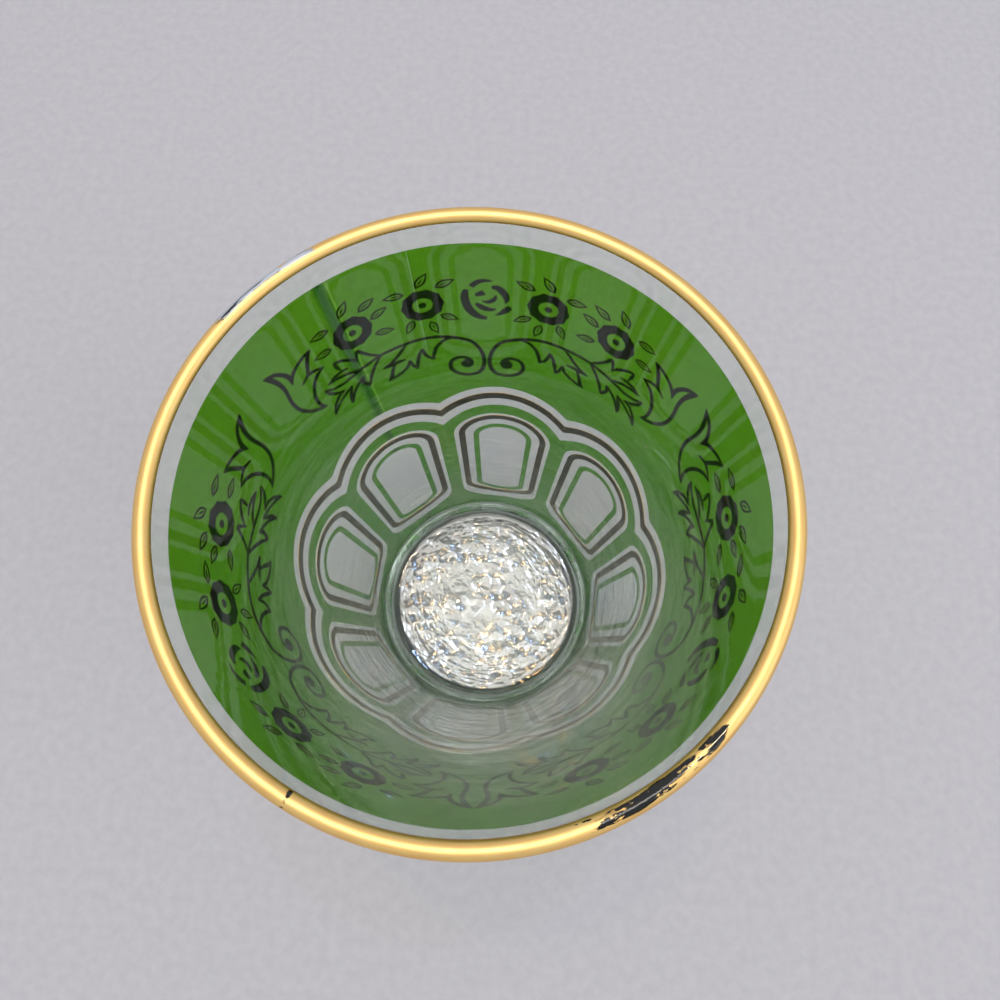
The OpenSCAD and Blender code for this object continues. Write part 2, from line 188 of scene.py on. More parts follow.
def band(tree, value, low, high, soft):
    """1 where value lies between low and high, with soft edges."""
    rise = add(tree, "ShaderNodeMapRange", {"Value": value, "From Min": low - soft, "From Max": low + soft})
    fall = add(tree, "ShaderNodeMapRange", {
        "Value": value, "From Min": high - soft, "From Max": high + soft, "To Min": 1.0, "To Max": 0.0})
    both = add(tree, "ShaderNodeMath", {0: rise.outputs[0], 1: fall.outputs[0]}, operation="MULTIPLY")
    return both.outputs[0]


# Pressed soda-lime glass: clear with a grey-green tinge in its thick base, and fire polished inside,
# where swells up the wall and shallow dimples over the base throw back the light in arcs and sparkles
def pressed_glass():
    material, tree = new_material("pressed_soda_lime_glass")
    where, turns, height = place_on_glass(tree)
    reach = reach_of(tree, where)
    mid_wall = add(tree, "ShaderNodeMath", {0: height, 1: SLOPE, 2: FOOT_R - 1.0}, operation="MULTIPLY_ADD")
    inner_side = add(tree, "ShaderNodeMath", {0: reach, 1: mid_wall.outputs[0]}, operation="LESS_THAN")
    # Arcs: quick along the section, slow round the glass, and none at the middle of the floor
    path = add(tree, "ShaderNodeMath", {0: reach, 1: height}, operation="ADD")
    angle = add(tree, "ShaderNodeMath", {0: turns, 1: 2 * math.pi}, operation="MULTIPLY")
    cos = add(tree, "ShaderNodeMath", {0: angle.outputs[0]}, operation="COSINE")
    sin = add(tree, "ShaderNodeMath", {0: angle.outputs[0]}, operation="SINE")
    along = add(tree, "ShaderNodeCombineXYZ", {
        "X": path.outputs[0], "Y": cos.outputs[0], "Z": sin.outputs[0]})
    arcs = noise_of(
        tree, along.outputs[0], ARC_W, roughness=0.55, stretch=(MM, ARC_ROUND * MM, ARC_ROUND * MM))
    low_on_wall = add(tree, "ShaderNodeMapRange", {
        "Value": height, "From Min": 9.0, "From Max": 60.0, "To Min": 1.0, "To Max": 0.05})
    off_centre = add(tree, "ShaderNodeMapRange", {"Value": reach, "From Min": 3.0, "From Max": 13.0})
    arcs_share = add(tree, "ShaderNodeMath", {
        0: off_centre.outputs[0], 1: low_on_wall.outputs[0]}, operation="MULTIPLY")
    arcs_inside = add(tree, "ShaderNodeMath", {
        0: arcs_share.outputs[0], 1: inner_side.outputs[0]}, operation="MULTIPLY")
    arcs_height = add(tree, "ShaderNodeMath", {
        0: arcs.outputs["Fac"], 1: arcs_inside.outputs[0]}, operation="MULTIPLY")
    # Dimples: shallow domes in patches over the base, so that each shows the lamps once more
    dimples = add(tree, "ShaderNodeTexVoronoi", {"Vector": where, "Scale": 1 / (DIMPLE_W * MM)}, feature="F1")
    domed = add(tree, "ShaderNodeMath", {
        0: dimples.outputs["Distance"], 1: dimples.outputs["Distance"]}, operation="MULTIPLY")
    over_base = add(tree, "ShaderNodeMapRange", {
        "Value": reach, "From Min": 16.0, "From Max": 18.5, "To Min": 1.0, "To Max": 0.0})
    patches = noise_of(tree, where, DIMPLE_PATCH_W, detail=1.0)
    in_patches = add(tree, "ShaderNodeMapRange", {
        "Value": patches.outputs["Fac"], "From Min": 0.4, "From Max": 0.52})
    dimple_share = add(tree, "ShaderNodeMath", {
        0: in_patches.outputs[0], 1: over_base.outputs[0]}, operation="MULTIPLY")
    dimpled = add(tree, "ShaderNodeMath", {
        0: domed.outputs[0], 1: dimple_share.outputs[0]}, operation="MULTIPLY")
    deep = add(tree, "ShaderNodeMath", {
        0: dimpled.outputs[0], 1: 0.5, 2: arcs_height.outputs[0]}, operation="MULTIPLY_ADD")
    bump = add(tree, "ShaderNodeBump", {
        "Strength": 1.0, "Distance": GLASS_RELIEF * MM, "Height": deep.outputs[0]})
    # The polished skin moves more than the glass under it, in long swells up the wall
    swells = noise_of(tree, along.outputs[0], SWELL_W, stretch=(MM, SWELL_ROUND * MM, SWELL_ROUND * MM))
    up_wall = add(tree, "ShaderNodeMapRange", {
        "Value": reach, "From Min": 18.0, "From Max": 22.0, "To Min": 0.0, "To Max": 2.6})
    swell_height = add(tree, "ShaderNodeMath", {
        0: swells.outputs["Fac"], 1: up_wall.outputs[0]}, operation="MULTIPLY")
    skin_arcs = add(tree, "ShaderNodeMath", {
        0: arcs_height.outputs[0], 1: 0.9, 2: swell_height.outputs[0]}, operation="MULTIPLY_ADD")
    skin = add(tree, "ShaderNodeMath", {0: dimpled.outputs[0], 1: skin_arcs.outputs[0]}, operation="ADD")
    skin_bump = add(tree, "ShaderNodeBump", {
        "Strength": 1.0, "Distance": SKIN_RELIEF * MM, "Height": skin.outputs[0]})
    # A grey ring of painted shade lies in the corner round the floor, and there the glass does not shine
    round_floor = band(tree, reach, *SHADE_RING, 0.25)
    near_floor = add(tree, "ShaderNodeMath", {0: height, 1: FLOOR_H + HEEL_R}, operation="LESS_THAN")
    corner = add(tree, "ShaderNodeMath", {0: round_floor, 1: near_floor.outputs[0]}, operation="MULTIPLY")
    painted_shade_ring = add(tree, "ShaderNodeMath", {
        0: corner.outputs[0], 1: inner_side.outputs[0]}, operation="MULTIPLY", use_clamp=True)
    tint = add(tree, "ShaderNodeMixRGB", {
        "Fac": painted_shade_ring.outputs[0], "Color1": colour("#f7faf6"), "Color2": colour("#969d95")})
    # The polish is brightest low down, and fades towards the lip
    polish = add(tree, "ShaderNodeMapRange", {
        "Value": height, "From Min": 45.0, "From Max": 82.0, "To Min": 0.9, "To Max": 0.2})
    inside_polish = add(tree, "ShaderNodeMath", {
        0: polish.outputs[0], 1: inner_side.outputs[0]}, operation="MULTIPLY")
    # The glass outside the ring of painted shade keeps its polish
    outside_shade_ring = add(tree, "ShaderNodeMath", {0: 1.0, 1: painted_shade_ring.outputs[0]}, operation="SUBTRACT")
    shine = add(tree, "ShaderNodeMath", {
        0: inside_polish.outputs[0], 1: outside_shade_ring.outputs[0]}, operation="MULTIPLY")
    finish_material(tree, {
        "Base Color": tint.outputs[0], "Roughness": 0.0, "IOR": 1.52, "Transmission Weight": 1.0,
        "Normal": bump.outputs["Normal"], "Coat Weight": shine.outputs[0], "Coat Roughness": 0.1,
        "Coat IOR": 1.7, "Coat Normal": skin_bump.outputs["Normal"]}, volume=("#b9cfc0", 25.0))
    return material


# Green lustre coat, sprayed and fired: lets light through, cloudy where the spray lay thicker, yellower
# towards the lip
def green_coat():
    material, tree = new_material("fired_green_coat")
    where, turns, height = place_on_glass(tree)
    cloud = noise_of(tree, where, 14.0, detail=3.0, roughness=0.6)
    grain = noise_of(tree, where, 1.2, detail=2.0)
    upright = add(tree, "ShaderNodeMapRange", {"Value": height, "From Min": 8.0, "From Max": 82.0})
    tint = ramp(tree, upright.outputs[0], [
        (0.0, "#5cc23a"), (0.35, "#64b828"), (0.75, "#6cb41e"), (1.0, "#70b01c")])
    deeper = add(tree, "ShaderNodeMixRGB", {
        "Fac": cloud.outputs["Fac"], "Color1": tint, "Color2": colour("#5aa61a")}, blend_type="MIX")
    # A lap in the coat, where the spray crossed itself, with the thin line that it dried beside
    lap = band(tree, turns, *LAP, 0.0022)
    lapped = add(tree, "ShaderNodeMixRGB", {
        "Fac": lap, "Color1": deeper.outputs[0], "Color2": colour("#2f7a1c")})
    beside = band(tree, turns, *LAP_EDGE, 0.0008)
    lapped = add(tree, "ShaderNodeMixRGB", {
        "Fac": beside, "Color1": lapped.outputs[0], "Color2": colour("#9ad45c")})
    specks = add(tree, "ShaderNodeMixRGB", {
        "Fac": 0.15, "Color1": lapped.outputs[0], "Color2": grain.outputs["Fac"]}, blend_type="OVERLAY")
    # The coat lies under the glass's skin, which gives it its gloss, so it bends no light of its own
    finish_material(tree, {
        "Base Color": specks.outputs[0], "Roughness": 0.0, "IOR": 1.0, "Transmission Weight": 1.0})
    return material


# Gold print, screened in thin ink and fired: satin and slightly mottled gold on its outer side
def printed_gold():
    material, tree = new_material("printed_gold")
    where = add(tree, "ShaderNodeTexCoord").outputs["Object"]
    mottle = noise_of(tree, where, 0.8, detail=3.0, roughness=0.6)
    tone = ramp(tree, mottle.outputs["Fac"], [(0.3, "#cfa24c"), (0.7, "#f0ca78")])
    worn = add(tree, "ShaderNodeMapRange", {
        "Value": mottle.outputs["Fac"], "From Min": 0.3, "From Max": 0.7, "To Min": 0.34, "To Max": 0.24})
    finish_material(tree, {"Base Color": tone, "Metallic": 1.0, "Roughness": worn.outputs[0]})
    return material


# Underside of the print, seen through the glass: the ink's dull brown binder, darker where it lies on
# the coat
def print_underside(name, dark, light):
    material, tree = new_material(name)
    where = add(tree, "ShaderNodeTexCoord").outputs["Object"]
    mottle = noise_of(tree, where, 0.9, detail=3.0, roughness=0.6)
    tone = ramp(tree, mottle.outputs["Fac"], [(0.3, dark), (0.7, light)])
    finish_material(tree, {"Base Color": tone, "Roughness": 0.5, "Specular IOR Level": 0.3})
    return material


# Bright gold on the lip, brushed on and fired, satin: painted light makes it pale on top, and painted shade
# makes it browner below
def lip_gold():
    material, tree = new_material("fired_bright_gold")
    where, turns, height = place_on_glass(tree)
    along = add(tree, "ShaderNodeMath", {0: turns, 1: 2 * math.pi * RIM_R}, operation="MULTIPLY")
    reach = reach_of(tree, where)
    unrolled = add(tree, "ShaderNodeCombineXYZ", {"X": along.outputs[0], "Y": reach, "Z": height})
    brush = noise_of(tree, unrolled.outputs[0], 0.5, detail=3.0, roughness=0.6, stretch=(0.12 * MM, MM, MM))
    # Painted shade on the lower outer edge of the lip, rising to painted light towards its crest
    painted_shade_to_light = add(tree, "ShaderNodeMapRange", {
        "Value": height, "From Min": GLASS_H - 1.4, "From Max": GLASS_H - 0.35})
    tone = ramp(tree, painted_shade_to_light.outputs[0], [
        (0.0, "#9a5a26"), (0.45, "#cf9444"), (0.8, "#f0c070"), (1.0, "#f6cd82")])
    mottled = add(tree, "ShaderNodeMixRGB", {
        "Fac": 0.35, "Color1": tone, "Color2": brush.outputs["Fac"]}, blend_type="OVERLAY")
    # Two stretches where hands and spoons have worn the gold through to the glass, and a chip
    patches = noise_of(
        tree, unrolled.outputs[0], 0.9, detail=5.0, roughness=0.62, stretch=(0.28 * MM, MM, MM))
    upper = add(tree, "ShaderNodeMath", {
        0: band(tree, turns, *UPPER_WEAR, 0.008), 1: band(tree, reach, *UPPER_WEAR_REACH, 0.12)},
        operation="MULTIPLY").outputs[0]
    lower = add(tree, "ShaderNodeMath", {
        0: band(tree, turns, *LOWER_WEAR, 0.012), 1: band(tree, reach, *LOWER_WEAR_REACH, 0.12)},
        operation="MULTIPLY").outputs[0]
    chip = band(tree, turns, *CHIP, 0.001)
    stretches = add(tree, "ShaderNodeMath", {0: upper, 1: 1.3, 2: lower}, operation="MULTIPLY_ADD")
    with_chip = add(tree, "ShaderNodeMath", {0: stretches.outputs[0], 1: chip}, operation="ADD")
    crest = band(tree, height, GLASS_H - 0.7, GLASS_H + 0.5, 0.3)
    where_worn = add(tree, "ShaderNodeMath", {0: with_chip.outputs[0], 1: crest}, operation="MULTIPLY")
    limit = add(tree, "ShaderNodeMath", {
        0: where_worn.outputs[0], 1: -0.34, 2: 0.8}, operation="MULTIPLY_ADD")
    worn = add(tree, "ShaderNodeMath", {
        0: patches.outputs["Fac"], 1: limit.outputs[0]}, operation="GREATER_THAN")
    # In the upper stretch a silvery film is left, scored through in lines that follow the lip
    scores = noise_of(
        tree, unrolled.outputs[0], 0.35, detail=3.0, roughness=0.6, stretch=(0.06 * MM, MM, MM))
    scored = add(tree, "ShaderNodeMath", {0: scores.outputs["Fac"], 1: 0.56}, operation="GREATER_THAN")
    through = add(tree, "ShaderNodeMath", {0: scored.outputs[0], 1: upper}, operation="SUBTRACT")
    through = add(tree, "ShaderNodeMath", {0: through.outputs[0], 1: 1.0}, operation="ADD", use_clamp=True)
    bare = add(tree, "ShaderNodeMath", {0: worn.outputs[0], 1: through.outputs[0]}, operation="MULTIPLY")
    kept = add(tree, "ShaderNodeMath", {0: 1.0, 1: bare.outputs[0]}, operation="SUBTRACT")
    filmed = add(tree, "ShaderNodeMixRGB", {
        "Fac": worn.outputs[0], "Color1": mottled.outputs[0], "Color2": colour("#dde2ea")})
    bump = add(tree, "ShaderNodeBump", {
        "Strength": 0.5, "Distance": 0.03 * MM, "Height": brush.outputs["Fac"]})
    finish_material(tree, {
        "Base Color": filmed.outputs[0], "Metallic": 1.0, "Roughness": 0.45, "Alpha": kept.outputs[0],
        "Normal": bump.outputs["Normal"]})
    return material


# Painted studio board: matt and pale
def pale_board():
    material, tree = new_material("matt_board")
    where = add(tree, "ShaderNodeTexCoord").outputs["Object"]
    tooth = noise_of(tree, where, 2.0, detail=3.0)
    tone = ramp(tree, tooth.outputs["Fac"], [(0.3, "#b6b5ba"), (0.7, "#bebdc1")])
    finish_material(tree, {"Base Color": tone, "Roughness": 0.85})
    return material


def arc(x, y, r, a0, a1, n):
    """Points on an arc in the profile plane, from a0 to a1 degrees."""
    angles = [math.radians(a0 + (a1 - a0) * i / n) for i in range(n + 1)]
    return [(x + r * math.cos(a), y + r * math.sin(a)) for a in angles]


def run(a, b, n):
    """Points from a towards b, without b."""
    return [(a[0] + (b[0] - a[0]) * i / n, a[1] + (b[1] - a[1]) * i / n) for i in range(n)]


def glass_profile():
    """Half section of the glass, from the axis below to the axis above. A point's third number is its
    share of the ripple, which dies away up the wall."""
    taper = math.degrees(TAPER)
    lip_r = WALL_T / 2
    lip_h = GLASS_H - lip_r
    lip_x = wall_r(lip_h) - lip_r / math.cos(TAPER)
    lip_in = (lip_x - lip_r * math.cos(TAPER), lip_h + lip_r * math.sin(TAPER))
    floor_edge = wall_r(FLOOR_H) - HEEL_T
    inner_slope = (lip_in[0] - floor_edge) / (lip_in[1] - FLOOR_H)
    heel_x = floor_edge + inner_slope * HEEL_R - HEEL_R * math.hypot(1, inner_slope)
    foot_x = wall_r(FOOT_EDGE_R) - FOOT_EDGE_R / math.cos(TAPER)
    foot_in = foot_x - FOOT_RING_W
    heel_turn = -math.degrees(math.atan(inner_slope))
    edge = arc(foot_x, FOOT_EDGE_R, FOOT_EDGE_R, -90, -taper, 6)
    lip = arc(lip_x, lip_h, lip_r, -taper, 180 - taper, 18)
    heel = arc(heel_x, FLOOR_H + HEEL_R, HEEL_R, heel_turn, -90, 10)
    steps = 36
    punt = [(foot_in * i / steps, PUNT_H * (1 - (i / steps) ** 2)) for i in range(steps)]
    floor = [(heel_x * (1 - i / steps), FLOOR_H - FLOOR_DISH * (1 - (1 - i / steps) ** 2))
             for i in range(1, steps + 1)]
    parts = [
        (punt, 1.0), ([(foot_in, 0.0)], 0.0), (edge, 0.0), (run(edge[-1], lip[0], 60)[1:], 0.0),
        (lip, 0.0), (run(lip[-1], heel[0], 110)[1:], 0.4), (heel, 0.4), (floor, 0.5)]
    return [(x, y, share * (1 - y / GLASS_H) ** 2) for points, share in parts for x, y in points]


def lip_profile():
    """Closed section of the gold over the lip."""
    taper = math.degrees(TAPER)
    lip_r = WALL_T / 2
    lip_h = GLASS_H - lip_r
    lip_x = wall_r(lip_h) - lip_r / math.cos(TAPER)
    low = GLASS_H - LIP_GOLD_DROP
    outer = arc(lip_x, lip_h, lip_r + GOLD_T * 0.75, -taper, 180 - taper, 28)
    inner = arc(lip_x, lip_h, lip_r - SKIN, 180 - taper, -taper, 28)
    points = [(wall_r(low) - SKIN, low), (wall_r(low) + GOLD_T * 0.75, low)] + outer + inner
    return [(x, y, 0.0) for x, y in points + points[:1]]


def group_sockets(tree, sockets):
    """Adds named inputs and the one geometry output to a Geometry Nodes tree, and returns both ends."""
    for name, kind, value in sockets:
        socket = tree.interface.new_socket(name, in_out="INPUT", socket_type=kind)
        if value is not None:
            socket.default_value = value
    tree.interface.new_socket("Geometry", in_out="OUTPUT", socket_type="NodeSocketGeometry")
    return tree.nodes.new("NodeGroupInput"), tree.nodes.new("NodeGroupOutput")


def turned_tree():
    """Turns a half section round the axis. The input mesh holds the section's points, x out and z up."""
    tree = bpy.data.node_groups.new("turned_section", "GeometryNodeTree")
    given, made = group_sockets(tree, [
        ("Geometry", "NodeSocketGeometry", None), ("Points", "NodeSocketInt", 2),
        ("Segments", "NodeSocketInt", GLASS_SEGMENTS), ("Ripple height", "NodeSocketFloat", 0.0),
        ("Ripple length", "NodeSocketFloat", 0.005), ("Ripple seed", "NodeSocketFloat", 7.0),
        ("Material", "NodeSocketMaterial", None)])
    rings = add(tree, "ShaderNodeMath", {0: given.outputs["Segments"], 1: 1}, operation="ADD")
    grid = add(tree, "GeometryNodeMeshGrid", {
        "Vertices X": rings.outputs[0], "Vertices Y": given.outputs["Points"]})
    index = add(tree, "GeometryNodeInputIndex").outputs[0]
    turn = add(tree, "ShaderNodeMath", {0: index, 1: given.outputs["Points"]}, operation="DIVIDE")
    whole = add(tree, "ShaderNodeMath", {0: turn.outputs[0]}, operation="FLOOR")
    place = add(tree, "ShaderNodeMath", {0: index, 1: given.outputs["Points"]}, operation="MODULO")
    share = add(tree, "ShaderNodeMath", {
        0: whole.outputs[0], 1: given.outputs["Segments"]}, operation="DIVIDE")
    angle = add(tree, "ShaderNodeMath", {0: share.outputs[0], 1: 2 * math.pi}, operation="MULTIPLY")
    section = add(tree, "GeometryNodeSampleIndex", {
        "Geometry": given.outputs["Geometry"], "Value": add(tree, "GeometryNodeInputPosition").outputs[0],
        "Index": place.outputs[0]}, data_type="FLOAT_VECTOR")
    level = add(tree, "ShaderNodeSeparateXYZ", {0: section.outputs[0]})
    cos = add(tree, "ShaderNodeMath", {0: angle.outputs[0]}, operation="COSINE")
    sin = add(tree, "ShaderNodeMath", {0: angle.outputs[0]}, operation="SINE")
    x = add(tree, "ShaderNodeMath", {0: level.outputs["X"], 1: cos.outputs[0]}, operation="MULTIPLY")
    y = add(tree, "ShaderNodeMath", {0: level.outputs["X"], 1: sin.outputs[0]}, operation="MULTIPLY")
    spot = add(tree, "ShaderNodeCombineXYZ", {"X": x.outputs[0], "Y": y.outputs[0], "Z": level.outputs["Z"]})
    ripple_share = add(tree, "GeometryNodeStoreNamedAttribute", {
        "Geometry": grid.outputs["Mesh"], "Name": "ripple", "Value": level.outputs["Y"]},
        data_type="FLOAT", domain="POINT")
    turned = add(tree, "GeometryNodeSetPosition", {
        "Geometry": ripple_share.outputs[0], "Position": spot.outputs[0]})
    closed = add(tree, "GeometryNodeMergeByDistance", {"Geometry": turned.outputs[0], "Distance": 0.002 * MM})
    scale = add(tree, "ShaderNodeMath", {0: 1.0, 1: given.outputs["Ripple length"]}, operation="DIVIDE")
    drawn_out = add(tree, "ShaderNodeVectorMath", {
        0: add(tree, "GeometryNodeInputPosition").outputs[0], 1: (RIPPLE_ROUND, RIPPLE_ROUND, 1.0)},
        operation="MULTIPLY")
    wave = add(tree, "ShaderNodeTexNoise", {
        "Vector": drawn_out.outputs[0], "W": given.outputs["Ripple seed"], "Scale": scale.outputs[0],
        "Detail": 1.5}, noise_dimensions="4D")
    level_wave = add(tree, "ShaderNodeMath", {0: wave.outputs["Fac"], 1: 0.5}, operation="SUBTRACT")
    kept_share = add(tree, "GeometryNodeInputNamedAttribute", {"Name": "ripple"}, data_type="FLOAT")
    height = add(tree, "ShaderNodeMath", {
        0: level_wave.outputs[0], 1: given.outputs["Ripple height"]}, operation="MULTIPLY")
    shared = add(tree, "ShaderNodeMath", {
        0: height.outputs[0], 1: kept_share.outputs[0]}, operation="MULTIPLY")
    push = add(tree, "ShaderNodeVectorMath", {
        0: add(tree, "GeometryNodeInputNormal").outputs[0], "Scale": shared.outputs[0]}, operation="SCALE")
    rippled = add(tree, "GeometryNodeSetPosition", {"Geometry": closed.outputs[0], "Offset": push.outputs[0]})
    smooth = add(tree, "GeometryNodeSetShadeSmooth", {"Geometry": rippled.outputs[0]})
    real = add(tree, "GeometryNodeRealizeInstances", {"Geometry": smooth.outputs[0]})
    dressed = add(tree, "GeometryNodeSetMaterial", {
        "Geometry": real.outputs[0], "Material": given.outputs["Material"]})
    tree.links.new(dressed.outputs[0], made.inputs["Geometry"])
    return tree


def line_tree():
    """Lays a flat line of a given width on the taper. The input mesh is its middle, x across and z up."""
    tree = bpy.data.node_groups.new("line_on_taper", "GeometryNodeTree")
    given, made = group_sockets(tree, [
        ("Geometry", "NodeSocketGeometry", None), ("Line width", "NodeSocketFloat", 0.001),
        ("Thickness", "NodeSocketFloat", 0.0001), ("Sink", "NodeSocketFloat", 0.0),
        ("Turn", "NodeSocketFloat", 0.0),
        ("Foot radius", "NodeSocketFloat", FOOT_R * MM), ("Slope", "NodeSocketFloat", SLOPE),
        ("Material", "NodeSocketMaterial", None)])
    middle = add(tree, "GeometryNodeMeshToCurve", {"Mesh": given.outputs["Geometry"]})
    section = add(tree, "GeometryNodeCurvePrimitiveQuadrilateral", {
        "Width": given.outputs["Thickness"], "Height": given.outputs["Line width"]})
    upright = add(tree, "GeometryNodeSetCurveNormal", {
        "Curve": middle.outputs[0], "Normal": (0, -1, 0)}, mode="FREE")
    drawn = add(tree, "GeometryNodeCurveToMesh", {
        "Curve": upright.outputs[0], "Profile Curve": section.outputs[0], "Fill Caps": True})
    parts = add(tree, "ShaderNodeSeparateXYZ", {0: add(tree, "GeometryNodeInputPosition").outputs[0]})
    radius = add(tree, "ShaderNodeMath", {
        0: parts.outputs["Z"], 1: given.outputs["Slope"], 2: given.outputs["Foot radius"]},
        operation="MULTIPLY_ADD")
    sine = add(tree, "ShaderNodeMath", {0: parts.outputs["X"], 1: radius.outputs[0]}, operation="DIVIDE")
    lean = add(tree, "ShaderNodeMath", {0: sine.outputs[0]}, operation="ARCSINE")
    angle = add(tree, "ShaderNodeMath", {0: lean.outputs[0], 1: given.outputs["Turn"]}, operation="ADD")
    half = add(tree, "ShaderNodeMath", {0: given.outputs["Thickness"], 1: 0.5}, operation="MULTIPLY")
    half = add(tree, "ShaderNodeMath", {0: half.outputs[0], 1: given.outputs["Sink"]}, operation="SUBTRACT")
    out = add(tree, "ShaderNodeMath", {0: parts.outputs["Y"], 1: half.outputs[0]}, operation="ADD")
    reach = add(tree, "ShaderNodeMath", {0: radius.outputs[0], 1: out.outputs[0]}, operation="ADD")
    cos = add(tree, "ShaderNodeMath", {0: angle.outputs[0]}, operation="COSINE")
    sin = add(tree, "ShaderNodeMath", {0: angle.outputs[0]}, operation="SINE")
    x = add(tree, "ShaderNodeMath", {0: reach.outputs[0], 1: cos.outputs[0]}, operation="MULTIPLY")
    y = add(tree, "ShaderNodeMath", {0: reach.outputs[0], 1: sin.outputs[0]}, operation="MULTIPLY")
    spot = add(tree, "ShaderNodeCombineXYZ", {
        "X": x.outputs[0], "Y": y.outputs[0], "Z": parts.outputs["Z"]})
    laid = add(tree, "GeometryNodeSetPosition", {"Geometry": drawn.outputs[0], "Position": spot.outputs[0]})
    real = add(tree, "GeometryNodeRealizeInstances", {"Geometry": laid.outputs[0]})
    dressed = add(tree, "GeometryNodeSetMaterial", {
        "Geometry": real.outputs[0], "Material": given.outputs["Material"]})
    tree.links.new(dressed.outputs[0], made.inputs["Geometry"])
    return tree


def chain(name, points, closed=False):
    """A mesh of one chain of edges."""
    mesh = bpy.data.meshes.new(name)
    count = len(points)
    edges = [(i, i + 1) for i in range(count - 1)] + ([(count - 1, 0)] if closed else [])
    mesh.from_pydata([[c * MM for c in p] for p in points], edges, [])
    piece = bpy.data.objects.new(name, mesh)
    bpy.context.scene.collection.objects.link(piece)
    return piece


def baked(piece, tree, values):
    """Runs a Geometry Nodes tree on a piece, and keeps the result as the piece's plain mesh."""
    modifier = piece.modifiers.new("form", "NODES")
    modifier.node_group = tree
    for item in tree.interface.items_tree:
        if item.item_type == "SOCKET" and item.in_out == "INPUT" and item.name in values:
            modifier[item.identifier] = values[item.name]
    mesh = bpy.data.meshes.new_from_object(piece.evaluated_get(bpy.context.evaluated_depsgraph_get()))
    piece.modifiers.remove(modifier)
    old = piece.data
    piece.data = mesh
    bpy.data.meshes.remove(old)
    return piece


def point_out(piece):
    """Turns a closed piece's faces outwards."""
    work = bmesh.new()
    work.from_mesh(piece.data)
    bmesh.ops.remove_doubles(work, verts=work.verts, dist=0.001 * MM)
    bmesh.ops.recalc_face_normals(work, faces=work.faces)
    if work.calc_volume(signed=True) < 0:
        bmesh.ops.reverse_faces(work, faces=work.faces)
    work.to_mesh(piece.data)
    work.free()


def taper_faces(mesh):
    """For each face: 1 on the outer side of a layer, -1 on its glass side, 0 on its edges."""
    count = len(mesh.polygons)
    normals, centres = np.empty(count * 3), np.empty(count * 3)
    mesh.polygons.foreach_get("normal", normals)
    mesh.polygons.foreach_get("center", centres)
    normals, centres = normals.reshape(-1, 3), centres.reshape(-1, 3)
    out = centres[:, :2] / np.linalg.norm(centres[:, :2], axis=1)[:, None]
    facing = (normals[:, :2] * out).sum(1) * math.cos(TAPER) - normals[:, 2] * math.sin(TAPER)
    return np.where(facing > 0.95, 1, np.where(facing < -0.95, -1, 0))


def dress_layer(piece, outside, underside):
    """Outer and glass sides of a layer get their own materials, and normals that follow the taper."""
    mesh = piece.data
    mesh.materials.clear()
    mesh.materials.append(outside)
    mesh.materials.append(underside)
    side = taper_faces(mesh)
    mesh.polygons.foreach_set("material_index", np.where(side < 0, 1, 0).astype(np.int32))
    mesh.polygons.foreach_set("use_smooth", np.ones(len(mesh.polygons), bool))
    wanted = []
    for polygon in mesh.polygons:
        way = side[polygon.index]
        for corner in polygon.vertices:
            if way == 0:
                wanted.append(polygon.normal[:])
                continue
            at = mesh.vertices[corner].co
            reach = math.hypot(at.x, at.y)
            c = way * math.cos(TAPER) / reach
            wanted.append((at.x * c, at.y * c, -way * math.sin(TAPER)))
    mesh.normals_split_custom_set(wanted)


def layer_from(node, name, outside, underside, sink=0.0):
    """A layer in its CAD node's shape: a joined copy, let in by sink, with sides that can be told apart."""
    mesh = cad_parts[node].data.copy()
    mesh.name = name
    for vertex in mesh.vertices:
        reach = math.hypot(vertex.co.x, vertex.co.y)
        vertex.co.x *= 1 - sink * MM / reach
        vertex.co.y *= 1 - sink * MM / reach
    piece = bpy.data.objects.new(name, mesh)
    bpy.context.scene.collection.objects.link(piece)
    point_out(piece)
    dress_layer(piece, outside, underside)
    return piece


def keep(piece, node):
    """The piece stands for its node and stays with the glass."""
    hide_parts(node)
    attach(piece, "root")


def pane_outline(side, top, foot):
    """Middle of a line inside a pane, drawn in from its edge: straight sides, arched top, curved foot."""
    width = PANE_W - 2 * side
    high, low = PANE_TOP_H - top, PANE_FOOT_H + foot
    rise = PANE_RISE * width / PANE_W + (side - top) / 2
    sink = PANE_SINK * width / PANE_W
    half = math.asin(width / 2 / wall_r(high - rise))
    x_high = wall_r(high - rise) * math.sin(half)
    x_low = wall_r(low + sink) * math.sin(half)
    angles = [math.pi * i / ARCH_STEPS for i in range(ARCH_STEPS + 1)]
    arch = [(x_high * math.cos(a), 0, high - rise + rise * math.sin(a)) for a in angles]
    sill = [(-x_low * math.cos(a), 0, low + sink - sink * math.sin(a)) for a in angles]
    left = [(x, 0, z) for x, z in run(arch[-1][::2], sill[0][::2], SIDE_STEPS)[1:]]
    right = [(-x, 0, z) for x, _, z in reversed(left)]
    return arch + left + sill + right


glass_material = pressed_glass()
coat_material = green_coat()
gold_material = printed_gold()
underside_on_glass = print_underside("print_underside_on_glass", "#4e3f2e", "#715c45")
underside_on_coat = print_underside("print_underside_on_coat", "#17190e", "#2a2c18")
lip_material = lip_gold()

turned = turned_tree()
line = line_tree()

profile = glass_profile()
glass = chain("clear_glass", [
    (x + (SKIN if x > wall_r(y) - 0.05 else 0), share / MM, y) for x, y, share in profile])
baked(glass, turned, {
    "Points": len(profile), "Segments": GLASS_SEGMENTS, "Ripple height": RIPPLE_H * MM,
    "Ripple length": RIPPLE_L * MM, "Ripple seed": 7.0, "Material": glass_material})
point_out(glass)
keep(glass, "glass_body")

